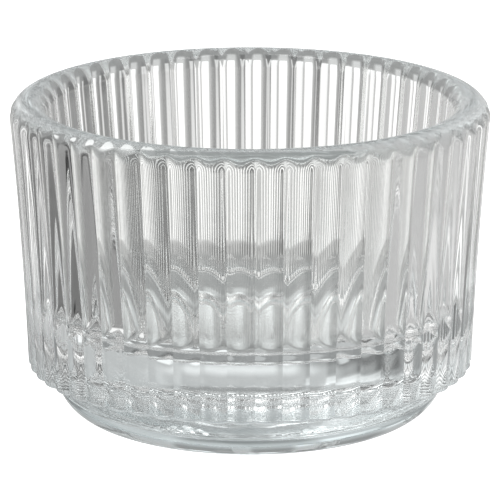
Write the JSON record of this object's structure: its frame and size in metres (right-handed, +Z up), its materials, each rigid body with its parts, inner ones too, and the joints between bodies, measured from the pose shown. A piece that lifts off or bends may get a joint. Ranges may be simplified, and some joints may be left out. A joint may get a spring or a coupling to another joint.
{
  "type": "tealight holder",
  "caption": "Clear pressed-glass tealight holder: a round tapered cup with convex vertical flutes, a smooth cavity, a rounded rim and a thick solid base.",
  "frame": {"origin": "centre of the underside, on the surface that the cup stands on", "axes": "+Z up along the cup's axis, towards the open rim; +X and +Y each pass through a rib's crest"},
  "size_m": [0.0518, 0.0518, 0.035],
  "materials": {
    "clear_glass": "fire polished, clear, faint cool tint"
  },
  "bodies": {
    "root": {"glass_cup": "clear_glass"}
  },
  "joints": []
}
